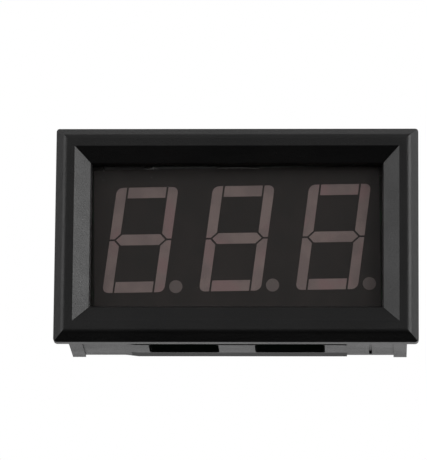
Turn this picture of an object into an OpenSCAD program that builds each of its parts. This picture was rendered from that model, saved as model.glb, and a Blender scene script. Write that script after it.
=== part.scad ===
// Three-digit LED panel meter: snap-in housing, smoked filter, display module and meter board.
// Millimetres. X points right, Y back through the panel and Z up. y = 0 is the panel's front
// face, which the back of the bezel seats on, and the bezel's centre is at x = z = 0.

/* [Display module] */
// Width of the display module
display_width = 37.6; // [36:0.1:42]
// Height of the display module
display_height = 19; // [18:0.1:22]
// Depth of the display module, from its face to the board
display_depth = 8; // [6:0.1:10]
// Turn of the soldered display on its board, anticlockwise from the front, in degrees
display_twist = 0.94; // [0:0.02:1.2]
// Rounding of the module's long edges
display_edge_radius = 0.3; // [0.1:0.05:0.8]
// Rim left round the small board in the back of the module
display_rim = 1.1; // [0.8:0.1:1.4]
// Thickness of the small board that carries the light-emitting dies
substrate_thickness = 1; // [0.6:0.1:1.6]
// Room between the cast segments and the small board, where the dies sit
die_room = 0.6; // [0.4:0.1:1]
// Edge of one light-emitting die
die_size = 0.3; // [0.2:0.05:0.35]

/* [Digits] */
// Distance from one digit to the next
digit_pitch = 12.7; // [12.2:0.1:13]
// Height of a digit
digit_height = 14.2; // [12:0.1:15]
// Width of a digit, measured level
digit_width = 8.13; // [7:0.01:8.5]
// Lean of the digits, in degrees
digit_slant = 8; // [0:0.5:10]
// Width of the upright segments, measured level
upright_stroke = 1.33; // [1:0.01:1.6]
// Height of the level segments
bar_stroke = 1.45; // [1:0.01:1.7]
// Gap between neighbouring segments
segment_gap = 0.24; // [0.15:0.01:0.4]
// Rounding of the outer corners of a digit
digit_corner_radius = 0.8; // [0.2:0.1:1]
// Length of the level joint between an upper and a lower upright
upright_joint = 0.615; // [0.3:0.005:0.9]
// Radius of a decimal point
point_radius = 0.87; // [0.6:0.01:1]
// Gap between a digit's foot and its decimal point
point_gap = 0.58; // [0.3:0.01:0.7]
// Height of a decimal point's centre above the digit's foot
point_rise = 0.71; // [0.6:0.01:2]

/* [Display pins] */
// Number of pins in each of the two rows
pins_per_row = 6; // [5:1:8]
// Distance from one pin to the next
pin_pitch = 2.54; // [2:0.01:2.54]
// Distance from the module's long edge to its row of pins
pin_row_inset = 1.88; // [1.8:0.01:3]
// Width of a pin
pin_width = 0.5; // [0.4:0.05:0.6]
// Thickness of a pin
pin_thickness = 0.3; // [0.2:0.05:0.4]
// Length of pin that stands out behind the board
pin_tail = 1.2; // [0.8:0.1:2]
// Radius of the board's holes for the pins
pin_hole_radius = 0.5; // [0.5:0.05:0.6]
// Radius of a solder joint on the board
solder_radius = 0.85; // [0.75:0.05:1]
// Height of a solder joint
solder_height = 0.8; // [0.4:0.1:1]

/* [Window and filter] */
// Side margin of the bezel's window around the display
window_margin_side = 0.3; // [0.1:0.05:0.8]
// Upper and lower margin of the bezel's window around the display
window_margin_top = 0.05; // [0.05:0.05:0.6]
// Thickness of the straight lip in front of the filter
lip_thickness = 0.85; // [0.5:0.05:1.5]
// Lap of the filter behind the lip
filter_lap = 0.9; // [0.5:0.05:1]
// Thickness of the smoked filter
filter_thickness = 0.9; // [0.5:0.05:1.5]
// Clearance between the filter's edge and its pocket
filter_clearance = 0.1; // [0.05:0.01:0.15]
// Gap between the filter and the display
filter_gap = 0.05; // [0.02:0.01:0.3]

/* [Bezel] */
// Thickness of the bezel, from its face to the panel
bezel_thickness = 2.44; // [2.4:0.01:4]
// Reach of the bezel beyond the corner rails, over the panel
flange_overlap = 1.49; // [1:0.01:4]
// Width of the outer chamfer, seen from the front
chamfer_width = 1.2; // [0.3:0.05:1.5]
// Depth of the outer chamfer
chamfer_depth = 1.2; // [0.3:0.01:2]
// Rounding of the edge between the bezel's face and its outer chamfer
bezel_edge_radius = 0.9; // [0.1:0.05:1.2]
// Rounding of the edge between the outer chamfer and the bezel's rim
bezel_rim_radius = 0.15; // [0.05:0.01:0.3]
// Width of the slope down to the window, seen from the front
reveal_width = 2.25; // [1:0.05:2.6]
// Depth of the slope down to the window
reveal_depth = 1.35; // [0.5:0.05:1.5]
// Bevel of the edge between the slope and the lip
lip_bevel = 0.2; // [0.05:0.05:0.4]
// Rounding of the bezel's corners
bezel_corner_radius = 0.5; // [0.2:0.1:1.5]

/* [Box] */
// Thickness of the box's side walls
side_wall = 1; // [0.8:0.05:1.5]
// Thickness of the box's upper and lower walls
top_wall = 1.2; // [0.9:0.05:1.8]
// Height of the corner rails above the walls
rail_height = 0.3; // [0.22:0.01:0.6]
// Width of a corner rail
rail_width = 1.75; // [1:0.05:2.5]
// Height of the raised pad around the board latches
pad_height = 0.2; // [0.1:0.01:0.22]
// Half of the raised pad's width
pad_reach = 14.4; // [13.5:0.1:15.5]
// Length of the ramp at the pad's left end
pad_ramp = 1.7; // [0.5:0.1:3]
// Rounding of the pad's right front corner
pad_corner_radius = 0.6; // [0.2:0.1:1.5]
// Room behind the board, up to the open rear rim
rear_room = 4.95; // [4:0.05:8]
// Rounding of the cavity's corners
cavity_corner_radius = 0.4; // [0.2:0.1:0.8]
// Reach of the corner posts along the walls, from the cavity's corners
post_reach = 3; // [1.8:0.1:4]
// Width of the tool groove in the lower wall
groove_width = 0.4; // [0.2:0.05:0.8]
// Depth of the tool groove
groove_depth = 0.3; // [0.1:0.05:0.5]
// Distance of the tool groove from the middle
groove_place = 17.55; // [16.2:0.05:18.5]
// Distance of the tool groove from the rear rim
groove_end = 0.75; // [0.3:0.05:2]
// Length of the tool groove
groove_length = 6; // [3:0.1:10]

/* [Board latches] */
// Distance of the tongues' middle to the right of the bezel's middle
latch_place = -0.2; // [-0.6:0.05:0.6]
// Width of the springy tongue that holds the board
tongue_width = 4.8; // [3:0.1:7]
// Width of the window on each side of the tongue
latch_window_width = 9.3; // [5:0.1:9.3]
// Rounding of the windows' corners
latch_window_radius = 0.35; // [0.1:0.05:1]
// Length of window in front of the board
latch_window_lead = 0.65; // [0.5:0.05:3]
// Length of window behind the board
latch_window_trail = 2.4; // [1.5:0.05:3]
// Width of the slit in front of the tongue and its windows
slit_width = 0.7; // [0.3:0.05:1]
// Reach of the slit beyond the windows
slit_overrun = 0.85; // [0:0.05:0.9]
// Reach of the tongue's hook over the board's edge
hook_overlap = 0.5; // [0.3:0.05:0.8]
// Clearance between the hook and the board
hook_clearance = 0.06; // [0.02:0.01:0.2]
// Width of the hook's flat tip
hook_tip = 0.3; // [0.1:0.05:0.6]

/* [Panel latches] */
// Thickest panel that the side latches close behind
panel_limit = 2.1; // [2.1:0.05:4]
// Width of a side latch arm
arm_width = 10; // [6:0.1:12]
// Width of the slot round an arm
arm_slot = 0.8; // [0.5:0.05:1.2]
// Distance from an arm's root to the rear rim
arm_root = 2.2; // [1:0.05:3]
// Height of an arm's barb above the side wall
barb_height = 1.35; // [0.8:0.05:1.4]
// Length of an arm's barb
barb_length = 8; // [4:0.1:8]
// Width of the barb's flat tip
barb_tip = 0.35; // [0.1:0.05:1]
// Rake of the barb's catch
barb_rake = 0.15; // [0:0.05:0.3]

/* [Board] */
// Thickness of the meter board
board_thickness = 1.6; // [1:0.1:2]
// Side margin of the board beyond the display
board_margin_side = 2.175; // [2:0.005:4]
// Upper and lower margin of the board beyond the display
board_margin_top = 1.8; // [1.6:0.05:3]
// Clearance between the board's edge and the box's walls
board_clearance = 0.1; // [0.05:0.01:0.2]
// Rounding of the board's corners
board_corner_radius = 0.6; // [0.4:0.1:1.5]

/* [Microcontroller] */
// Width of the microcontroller's body
controller_width = 6.5; // [6.3:0.1:8]
// Height of the microcontroller's body
controller_height = 4.4; // [3.5:0.1:4.6]
// Thickness of the microcontroller's body
controller_thickness = 1; // [0.8:0.05:1.6]
// Height of the microcontroller's body above the board
controller_lift = 0.1; // [0.05:0.01:0.2]
// Number of leads on each long side
controller_leads = 10; // [4:1:10]
// Distance from one lead to the next
controller_lead_pitch = 0.65; // [0.4:0.01:0.65]
// Width of a lead
controller_lead_width = 0.22; // [0.15:0.01:0.25]
// Thickness of a lead
controller_lead_thickness = 0.15; // [0.1:0.01:0.2]
// Reach of a lead beyond the body
controller_lead_reach = 1; // [0.8:0.05:1.1]
// Length of a lead's foot
controller_foot = 0.5; // [0.3:0.05:0.6]

/* [Voltage regulator] */
// Place of the regulator on the board, to the right and up
regulator_place = [-15.2, 6.3];
// Width of the regulator's body
regulator_width = 4.5; // [4:0.1:5]
// Height of the regulator's body
regulator_height = 2.5; // [2:0.1:3]
// Thickness of the regulator's body
regulator_thickness = 1.5; // [1:0.1:2]
// Distance from one lead to the next
regulator_lead_pitch = 1.5; // [1.2:0.1:1.6]
// Reach of a lead beyond the body
regulator_lead_reach = 0.9; // [0.5:0.1:1.2]
// Width of a lead
regulator_lead_width = 0.45; // [0.3:0.05:0.6]
// Thickness of the leads and the heat tab
regulator_lead_thickness = 0.4; // [0.2:0.05:0.5]
// Width of the heat tab
regulator_tab_width = 1.7; // [1.2:0.1:2.2]
// Reach of the heat tab beyond the body
regulator_tab_reach = 0.7; // [0.3:0.1:1.2]

/* [Polarity diode] */
// Place of the diode on the board, to the right and up
diode_place = [-15.2, 0.2];
// Width of the diode's body
diode_width = 4.3; // [3.5:0.1:5]
// Height of the diode's body
diode_height = 2.6; // [2:0.1:3.2]
// Thickness of the diode's body
diode_thickness = 2; // [1.5:0.1:2.4]
// Width of a diode terminal
diode_terminal_width = 1.5; // [1:0.1:1.8]

/* [Input capacitor] */
// Place of the input capacitor on the board, to the right and up
tantalum_place = [-15.2, -6];
// Width of the input capacitor's body
tantalum_width = 3.5; // [3:0.1:4.5]
// Height of the input capacitor's body
tantalum_height = 2.8; // [2:0.1:3.2]
// Thickness of the input capacitor's body
tantalum_thickness = 1.7; // [1.2:0.1:2.2]
// Width of an input capacitor terminal
tantalum_terminal_width = 2.2; // [1:0.1:2.2]

/* [Folded terminals] */
// Thickness of the folded terminals under the diode, capacitor and trimmer
terminal_thickness = 0.2; // [0.1:0.05:0.3]
// Length of a terminal's fold under its body
terminal_fold = 0.8; // [0.4:0.05:1.1]

/* [Trimmer] */
// Place of the trimmer on the board, to the right and up
trimmer_place = [15.8, -6.2];
// Edge of the trimmer's square body
trimmer_size = 4.5; // [4:0.1:5]
// Thickness of the trimmer's body
trimmer_thickness = 2.2; // [2:0.1:2.6]
// Radius of the rotor's disc
rotor_radius = 1.5; // [1.2:0.05:1.7]
// Depth of the rotor's well in the body
rotor_well_depth = 0.8; // [0.5:0.05:0.9]
// Height of the rotor above the body
rotor_stand = 0.15; // [0:0.05:0.3]
// Radius of the rotor's shaft
rotor_shaft_radius = 0.5; // [0.3:0.05:0.7]
// Length of the rotor's shaft below its disc
rotor_shaft_length = 0.8; // [0.5:0.05:0.9]
// Running clearance all round the rotor and its shaft
rotor_clearance = 0.05; // [0.02:0.01:0.08]
// Width of the rotor's screwdriver slot
rotor_slot_width = 0.6; // [0.4:0.05:0.8]
// Depth of the rotor's screwdriver slot
rotor_slot_depth = 0.4; // [0.2:0.05:0.5]
// Width of a trimmer terminal
trimmer_terminal_width = 0.9; // [0.6:0.05:1]
// Distance between the two terminals on the trimmer's lower side
trimmer_terminal_pitch = 2.3; // [1.8:0.05:2.6]

/* [Chip resistors and capacitors] */
// Number of segment resistors in the row below the microcontroller
resistor_count = 8; // [1:1:8]
// Distance from one segment resistor to the next
resistor_pitch = 1.8; // [1.2:0.05:2]
// Length of a chip resistor
resistor_length = 1.6; // [1.2:0.05:1.8]
// Width of a chip resistor
resistor_width = 0.8; // [0.6:0.05:0.9]
// Thickness of a chip resistor
resistor_thickness = 0.45; // [0.3:0.05:0.6]
// Length of a chip resistor's end cap
resistor_cap = 0.3; // [0.2:0.05:0.4]
// Number of chip capacitors in the row above the microcontroller
capacitor_count = 4; // [1:1:5]
// Distance from one chip capacitor to the next
capacitor_pitch = 3; // [2:0.1:3]
// Length of a chip capacitor
capacitor_length = 2; // [1.6:0.05:2.1]
// Width of a chip capacitor
capacitor_width = 1.25; // [0.8:0.05:1.6]
// Thickness of a chip capacitor
capacitor_thickness = 0.9; // [0.5:0.05:1.25]
// Length of a chip capacitor's end cap
capacitor_cap = 0.4; // [0.2:0.05:0.5]
// Distance from a row of pins to the chip row beside it
chip_row_drop = 2.67; // [2.5:0.01:2.8]

/* [Lead header] */
// Place of the lead header on the board, to the right and up
header_place = [14.2, 4.8];
// Number of pins in the lead header
header_pins = 3; // [2:1:4]
// Distance from one header pin to the next
header_pin_pitch = 2; // [1.5:0.05:2]
// Width of a header pin
header_pin_width = 0.5; // [0.4:0.05:0.6]
// Room between the outer pins and the shell's end walls
header_end_room = 1.4; // [1:0.05:1.5]
// Inner height of the header's socket
header_socket_height = 3.8; // [3:0.1:3.9]
// Thickness of the header's walls
header_wall = 0.6; // [0.4:0.05:0.8]
// Thickness of the header's floor
header_floor = 1.2; // [0.8:0.05:1.6]
// Height of the header above the board
header_depth = 6; // [5:0.1:7]
// Distance from the tips of the header's pins to its mouth
header_pin_recess = 0.9; // [0.3:0.05:1.5]
// Width of the two key slots in the header's upper wall
header_slot_width = 0.8; // [0.5:0.05:1.2]
// Reach of the header's feet and solder tabs beyond its shell
header_foot_reach = 1.1; // [0.8:0.05:1.2]
// Thickness of the header's feet and solder tabs
header_foot_thickness = 0.25; // [0.15:0.05:0.3]

/* [Hidden] */
$fn = 48;

// Length by which a cut runs past a face, and by which a joined form reaches into its wall
over = 1;
embed = 0.3;

// Planes along Y, from the bezel's face to the open rear rim
bezel_face = -bezel_thickness;
filter_front = bezel_face + reveal_depth + lip_thickness;
filter_back = filter_front + filter_thickness;
display_face = filter_back + filter_gap;
board_front = display_face + display_depth;
board_back = board_front + board_thickness;
rear_rim = board_back + rear_room;
substrate_front = board_front - substrate_thickness;
segment_back = substrate_front - die_room;

// Outlines across the meter, from the display outwards
window_width = display_width + 2 * window_margin_side;
window_height = display_height + 2 * window_margin_top;
filter_width = window_width + 2 * filter_lap;
filter_height = window_height + 2 * filter_lap;
board_width = display_width + 2 * board_margin_side;
board_height = display_height + 2 * board_margin_top;
cavity_width = board_width + 2 * board_clearance;
cavity_height = board_height + 2 * board_clearance;
box_width = cavity_width + 2 * side_wall;
box_height = cavity_height + 2 * top_wall;
rails_width = box_width + 2 * rail_height;
rails_height = box_height + 2 * rail_height;
bezel_width = rails_width + 2 * flange_overlap;
bezel_height = rails_height + 2 * flange_overlap;

// Digits, before they lean
digit_right = digit_width / 2;
digit_top = digit_height / 2;
upright_inner = digit_right - upright_stroke;
joint_inner = digit_right - upright_joint;
middle_bar_tip = joint_inner + segment_gap / 2 - segment_gap * sqrt(2);

// Board latch windows, along Y
latch_window_front = board_front - latch_window_lead;
latch_window_back = board_back + latch_window_trail;

pin_row_spacing = display_height - 2 * pin_row_inset;
chip_row_place = pin_row_spacing / 2 - chip_row_drop;
header_width = (header_pins - 1) * header_pin_pitch + 2 * header_end_room + 2 * header_wall;
header_height = header_socket_height + 2 * header_wall;

// ---- Helpers ----

// A YZ outline drawn out along X, an XZ outline along Y, or an XY outline along Z
module along_x(from, to) translate([from, 0, 0]) rotate([90, 0, 90]) linear_extrude(to - from) children();
module along_y(from, to) translate([0, to, 0]) rotate([90, 0, 0]) linear_extrude(to - from) children();
module along_z(from, to) translate([0, 0, from]) linear_extrude(to - from) children();

// A centred rectangle with round corners
module round_rect(width, height, radius) {
    square([width - 2 * radius, height], center = true);
    square([width, height - 2 * radius], center = true);
    for (x = [-1, 1], z = [-1, 1])
        translate([x * (width / 2 - radius), z * (height / 2 - radius)]) circle(radius);
}

// A centred block whose outline is [width, height] at each listed depth, with flat slopes between
module sloped_block(depths, sizes) {
    last = len(depths) - 1;
    widest = max([for (s = sizes) s.x]) / 2 + over;
    highest = max([for (s = sizes) s.y]) / 2 + over;
    intersection() {
        along_x(-widest, widest) polygon([
            for (i = [0 : last]) [depths[i], sizes[i].y / 2],
            for (i = [last : -1 : 0]) [depths[i], -sizes[i].y / 2]
        ]);
        along_z(-highest, highest) polygon([
            for (i = [0 : last]) [sizes[i].x / 2, depths[i]],
            for (i = [last : -1 : 0]) [-sizes[i].x / 2, depths[i]]
        ]);
    }
}

// The child and its mirror image, left and right or up and down
module left_and_right() for (m = [0, 1]) mirror([m, 0, 0]) children();
module up_and_down() for (m = [0, 1]) mirror([0, 0, m]) children();

// Frames of the turned display and of a place on the board's back
module in_display() rotate([0, -display_twist, 0]) children();
module on_board(place) translate([place.x, board_back, place.y]) children();

// ---- Housing ----

// The bezel's section across its width or its height: face, rounded edge, chamfer and rim
module bezel_section(width) {
    turn = atan2(chamfer_depth, chamfer_width);
    rim = width / 2;
    edge = rim - chamfer_width;
    edge_run = bezel_edge_radius * tan(turn / 2);
    rim_run = bezel_rim_radius * tan((90 - turn) / 2);
    rim_front = bezel_face + chamfer_depth;
    for (side = [-1, 1]) {
        polygon([
            [0, bezel_face],
            [side * (edge - edge_run), bezel_face],
            [side * (edge + edge_run * cos(turn)), bezel_face + edge_run * sin(turn)],
            [side * (rim - rim_run * cos(turn)), rim_front - rim_run * sin(turn)],
            [side * rim, rim_front + rim_run],
            [side * rim, 0],
            [0, 0]
        ]);
        translate([side * (edge - edge_run), bezel_face + bezel_edge_radius]) circle(bezel_edge_radius);
        translate([side * (rim - bezel_rim_radius), rim_front + rim_run]) circle(bezel_rim_radius);
    }
}

// The bezel's outer form: its two sections, mitred at the corners
module bezel() intersection() {
    along_x(-bezel_width, bezel_width) mirror([1, -1, 0]) bezel_section(bezel_height);
    along_z(-bezel_height, bezel_height) bezel_section(bezel_width);
    along_y(bezel_face - over, over) round_rect(bezel_width, bezel_height, bezel_corner_radius);
}

// The slope from the bezel's face down to the window, and the straight lip behind it
module reveal_and_window() {
    grow = 2 * reveal_width * (1 + over / reveal_depth);
    bevel_front = bezel_face + reveal_depth * (1 - lip_bevel / reveal_width);
    sloped_block([bezel_face - over, bevel_front, bezel_face + reveal_depth + lip_bevel], [
        [window_width + grow, window_height + grow],
        [window_width + 2 * lip_bevel, window_height + 2 * lip_bevel],
        [window_width, window_height]
    ]);
    along_y(bezel_face, filter_front + over) square([window_width, window_height], center = true);
}

// The box with its four corner rails
module box_with_rails() {
    along_y(-over, rear_rim) {
        square([box_width, box_height], center = true);
        difference() {
            square([rails_width, rails_height], center = true);
            square([rails_width - 2 * rail_width, rails_height + over], center = true);
            square([rails_width + over, rails_height - 2 * rail_width], center = true);
        }
    }
}

// The raised pad around a board latch, ramped at its left end
module latch_pad() {
    wall = box_height / 2;
    intersection() {
        along_y(latch_window_front, rear_rim) polygon([
            [-pad_reach - pad_ramp / 2, wall],
            [-pad_reach + pad_ramp / 2, wall + pad_height],
            [pad_reach, wall + pad_height],
            [pad_reach, wall - embed],
            [-pad_reach - pad_ramp / 2, wall - embed]
        ]);
        along_z(0, rails_height) {
            translate([pad_reach - pad_corner_radius, latch_window_front + pad_corner_radius])
                circle(pad_corner_radius);
            translate([-bezel_width, latch_window_front])
                square([bezel_width + pad_reach - pad_corner_radius, rear_rim]);
            translate([0, latch_window_front + pad_corner_radius]) square([pad_reach, rear_rim]);
        }
    }
}

// The slit and the two windows that free a board latch's tongue
module latch_cut() {
    length = latch_window_back - latch_window_front;
    middle = tongue_width / 2 + latch_window_width / 2;
    reach = tongue_width / 2 + latch_window_width + slit_overrun;
    along_z(cavity_height / 2 - embed, rails_height) {
        for (x = [-middle, middle]) translate([x, latch_window_front + length / 2])
            round_rect(latch_window_width, length, latch_window_radius);
        translate([-reach, latch_window_front - slit_width]) square([2 * reach, slit_width]);
        for (x = [-middle, middle])
            translate([x - latch_window_width / 2 + latch_window_radius, latch_window_front - slit_width])
                square([latch_window_width - 2 * latch_window_radius, slit_width + latch_window_radius]);
    }
}

// The hook inside a board latch's tongue
module latch_hook() {
    catch = board_back + hook_clearance;
    tip = board_height / 2 - hook_overlap;
    along_x(-tongue_width / 2, tongue_width / 2) polygon([
        [catch, cavity_height / 2 + embed],
        [catch, tip],
        [catch + hook_tip, tip],
        [latch_window_back, cavity_height / 2],
        [latch_window_back, cavity_height / 2 + embed]
    ]);
}

// The slot round a side latch arm, open on three sides
module arm_cut() {
    front = panel_limit;
    root = rear_rim - arm_root;
    along_x(cavity_width / 2 - embed, rails_width) difference() {
        translate([front - arm_slot, -arm_width / 2 - arm_slot])
            square([root - front + arm_slot, arm_width + 2 * arm_slot]);
        translate([front, -arm_width / 2]) square([root - front + over, arm_width]);
    }
}

// The barb on a side latch arm
module arm_barb() {
    wall = box_width / 2;
    along_z(-arm_width / 2, arm_width / 2) polygon([
        [wall - embed, panel_limit],
        [wall, panel_limit],
        [wall + barb_height, panel_limit + barb_rake],
        [wall + barb_height, panel_limit + barb_rake + barb_tip],
        [wall, panel_limit + barb_length],
        [wall - embed, panel_limit + barb_length]
    ]);
}

// The outline of the pocket that the filter lies in
module filter_pocket_outline()
    square([filter_width + 2 * filter_clearance, filter_height + 2 * filter_clearance], center = true);

// The posts in the box's corners that the board rests on, notched to let the filter in
module corner_posts() {
    edge = post_reach + embed;
    along_y(filter_back - embed, board_front) difference() {
        for (x = [-1, 1], z = [-1, 1]) translate([
            x * (cavity_width / 2 + embed - edge / 2),
            z * (cavity_height / 2 + embed - edge / 2)
        ]) square(edge, center = true);
        filter_pocket_outline();
    }
}

// The narrow groove that the mould leaves in the lower wall
module tool_groove() {
    translate([groove_place - groove_width / 2, rear_rim - groove_end - groove_length, -rails_height])
        cube([groove_width, groove_length, rails_height - box_height / 2 + groove_depth]);
}

module housing() color([0.03, 0.03, 0.03]) {
    difference() {
        union() {
            bezel();
            box_with_rails();
            up_and_down() latch_pad();
        }
        reveal_and_window();
        along_y(filter_front, filter_back + over) filter_pocket_outline();
        along_y(filter_back, rear_rim + over)
            round_rect(cavity_width, cavity_height, cavity_corner_radius);
        up_and_down() translate([latch_place, 0, 0]) latch_cut();
        left_and_right() arm_cut();
        tool_groove();
    }
    corner_posts();
    up_and_down() translate([latch_place, 0, 0]) latch_hook();
    left_and_right() arm_barb();
}

// ---- Filter and display ----

module window_filter() color([0.1, 0.05, 0.05, 0.8])
    along_y(filter_front, filter_back) square([filter_width, filter_height], center = true);

// A point of an upright digit moved over by the lean
function slanted(p) = [p.x + p.y * tan(digit_slant), p.y];
function slanted_outline(points, side, level) =
    [for (p = points) slanted([side * p.x, level * p.y])];
function arc(centre, radius, from, to, steps = 6) =
    [for (i = [0 : steps]) centre + radius * [cos(from + (to - from) * i / steps),
                                              sin(from + (to - from) * i / steps)]];

// The upper right segment; the other three uprights are its mirror images
upright_outline = concat(
    [[joint_inner, segment_gap / 2], [digit_right, segment_gap / 2]],
    arc([digit_right - digit_corner_radius, digit_top - digit_corner_radius],
        digit_corner_radius, 0, 90),
    [[upright_inner, digit_top], [upright_inner, segment_gap / 2 + joint_inner - upright_inner]]
);
bar_outline = [
    [-upright_inner + segment_gap, digit_top - bar_stroke],
    [upright_inner - segment_gap, digit_top - bar_stroke],
    [upright_inner - segment_gap, digit_top],
    [-upright_inner + segment_gap, digit_top]
];
middle_bar_outline = [
    [middle_bar_tip, 0],
    [middle_bar_tip - bar_stroke / 2, bar_stroke / 2],
    [-middle_bar_tip + bar_stroke / 2, bar_stroke / 2],
    [-middle_bar_tip, 0],
    [-middle_bar_tip + bar_stroke / 2, -bar_stroke / 2],
    [middle_bar_tip - bar_stroke / 2, -bar_stroke / 2]
];

// The seven segments of one digit, seen from the front
module digit_outline() {
    for (side = [-1, 1], level = [-1, 1]) polygon(slanted_outline(upright_outline, side, level));
    for (level = [-1, 1]) polygon(slanted_outline(bar_outline, 1, level));
    polygon(slanted_outline(middle_bar_outline, 1, 1));
}

// Middles of the seven segments, for the dies behind them
segment_middles = [
    for (level = [-1, 1]) slanted([0, level * (digit_top - bar_stroke / 2)]),
    for (side = [-1, 1], level = [-1, 1])
        slanted([side * (digit_right - upright_stroke / 2), level * digit_top / 2]),
    [0, 0]
];
point_centre = [
    slanted([digit_right, point_rise - digit_top]).x + point_gap + point_radius,
    point_rise - digit_top
];

// Repeats the children at one digit's place, or at all three
module at_digit(i) translate([(i - 1) * digit_pitch, 0, 0]) children();
module at_each_digit() for (i = [0 : 2]) at_digit(i) children();

// The module's shell: a cup for each segment and point, and a seat for the small board
module display_housing() color([0.05, 0.05, 0.05]) in_display() difference() {
    along_y(display_face, board_front)
        round_rect(display_width, display_height, display_edge_radius);
    at_each_digit() along_y(display_face - over, substrate_front + embed) {
        digit_outline();
        translate(point_centre) circle(point_radius);
    }
    along_y(substrate_front, board_front + over)
        square([display_width - 2 * display_rim, display_height - 2 * display_rim], center = true);
}

// The cast resin of one digit's segments
module digit(i) color([0.8, 0.7, 0.68]) in_display() at_digit(i)
    along_y(display_face, segment_back) digit_outline();

module decimal_points() color([0.75, 0.7, 0.68]) in_display() at_each_digit()
    along_y(display_face, segment_back) translate(point_centre) circle(point_radius);

module led_dies() color([0.85, 0.75, 0.3]) in_display() at_each_digit()
    for (middle = concat(segment_middles, [point_centre]))
        translate([middle.x - die_size / 2, substrate_front - die_size, middle.y - die_size / 2])
            cube(die_size);

// Puts the children at each of the display's pins
module at_each_pin() for (i = [0 : pins_per_row - 1], row = [-1, 1])
    translate([(i - (pins_per_row - 1) / 2) * pin_pitch, row * pin_row_spacing / 2]) children();

module display_substrate() color([0.75, 0.65, 0.4]) in_display()
    along_y(substrate_front, board_front) difference() {
        square([display_width - 2 * display_rim, display_height - 2 * display_rim], center = true);
        at_each_pin() square([pin_width, pin_thickness], center = true);
    }

module display_pins() color([0.8, 0.8, 0.78]) in_display()
    along_y(substrate_front, board_back + pin_tail)
        at_each_pin() square([pin_width, pin_thickness], center = true);

// A cone of solder round each pin's tail
module pin_solder() color([0.7, 0.7, 0.72]) in_display() difference() {
    translate([0, board_back, 0]) rotate([-90, 0, 0]) mirror([0, 1, 0]) at_each_pin()
        cylinder(h = solder_height, r1 = solder_radius, r2 = pin_width * 0.75);
    along_y(board_front, board_back + pin_tail)
        at_each_pin() square([pin_width, pin_thickness], center = true);
}

// ---- Board ----

module circuit_board() color([0.05, 0.3, 0.15])
    along_y(board_front, board_back) difference() {
        round_rect(board_width, board_height, board_corner_radius);
        at_each_pin() circle(pin_hole_radius);
    }

// A moulded body with drafted sides, widest at its parting line, standing on the board's back
module moulded_body(width, height, thickness, lift = 0, draft = 0.12) {
    parting = lift + thickness / 2;
    narrow = [width - 2 * draft, height - 2 * draft];
    sloped_block([lift, parting, lift + thickness], [narrow, [width, height], narrow]);
}

// A terminal that leaves a body's right side halfway up and folds down and under it
module folded_terminal(body_width, parting, width) {
    side = body_width / 2;
    t = terminal_thickness;
    along_z(-width / 2, width / 2) polygon([
        [side, parting + t / 2], [side + 1.5 * t, parting + t / 2], [side + 1.5 * t, 0],
        [side - terminal_fold, 0], [side - terminal_fold, t], [side + t / 2, t],
        [side + t / 2, parting - t / 2], [side, parting - t / 2]
    ]);
}

module microcontroller() color([0.08, 0.08, 0.08]) on_board([0, 0])
    moulded_body(controller_width, controller_height, controller_thickness, controller_lift);

// One gull-wing lead: out of the body, down, and along the board
module gull_lead() {
    t = controller_lead_thickness;
    rise = controller_lift + controller_thickness / 2;
    start = controller_height / 2;
    end = start + controller_lead_reach;
    knee = start + (controller_lead_reach - controller_foot) / 2;
    heel = end - controller_foot;
    along_x(-controller_lead_width / 2, controller_lead_width / 2) polygon([
        [rise - t / 2, start], [rise + t / 2, start], [rise + t / 2, knee + t / 2],
        [t, heel + t / 2], [t, end], [0, end], [0, heel - t / 2], [rise - t / 2, knee - t / 2]
    ]);
}

module microcontroller_leads() color([0.75, 0.75, 0.75]) on_board([0, 0]) up_and_down()
    for (i = [0 : controller_leads - 1])
        translate([(i - (controller_leads - 1) / 2) * controller_lead_pitch, 0, 0]) gull_lead();

module voltage_regulator() color([0.08, 0.08, 0.08]) on_board(regulator_place)
    moulded_body(regulator_width, regulator_height, regulator_thickness);

// Three flat leads below the regulator, and its heat tab above
module regulator_leads() color([0.75, 0.75, 0.75]) on_board(regulator_place) {
    side = regulator_height / 2;
    along_y(0, regulator_lead_thickness) {
        for (i = [-1 : 1])
            translate([i * regulator_lead_pitch - regulator_lead_width / 2, -side - regulator_lead_reach])
                square([regulator_lead_width, regulator_lead_reach]);
        translate([-regulator_tab_width / 2, side]) square([regulator_tab_width, regulator_tab_reach]);
    }
}

module polarity_diode() color([0.1, 0.1, 0.1]) on_board(diode_place)
    moulded_body(diode_width, diode_height, diode_thickness, terminal_thickness);

module diode_terminals() color([0.75, 0.75, 0.75]) on_board(diode_place) left_and_right()
    folded_terminal(diode_width, terminal_thickness + diode_thickness / 2, diode_terminal_width);

module input_capacitor() color([0.8, 0.5, 0.15]) on_board(tantalum_place)
    moulded_body(tantalum_width, tantalum_height, tantalum_thickness, terminal_thickness);

module capacitor_terminals() color([0.75, 0.75, 0.75]) on_board(tantalum_place) left_and_right()
    folded_terminal(tantalum_width, terminal_thickness + tantalum_thickness / 2,
        tantalum_terminal_width);

// A row of chip parts that stand upright on the board: their bodies, or their end caps
module chip_row(count, pitch, height_place, size, cap, caps) on_board([0, height_place])
    for (i = [0 : count - 1]) translate([(i - (count - 1) / 2) * pitch, 0, 0]) {
        middle = size.z - 2 * cap;
        if (caps) up_and_down() translate([-size.x / 2, 0, middle / 2]) cube([size.x, size.y, cap]);
        else translate([-size.x / 2, 0, -middle / 2]) cube([size.x, size.y, middle]);
    }

module resistor_row(caps) chip_row(resistor_count, resistor_pitch, -chip_row_place,
    [resistor_width, resistor_thickness, resistor_length], resistor_cap, caps);
module capacitor_row(caps) chip_row(capacitor_count, capacitor_pitch, chip_row_place,
    [capacitor_width, capacitor_thickness, capacitor_length], capacitor_cap, caps);

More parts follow.
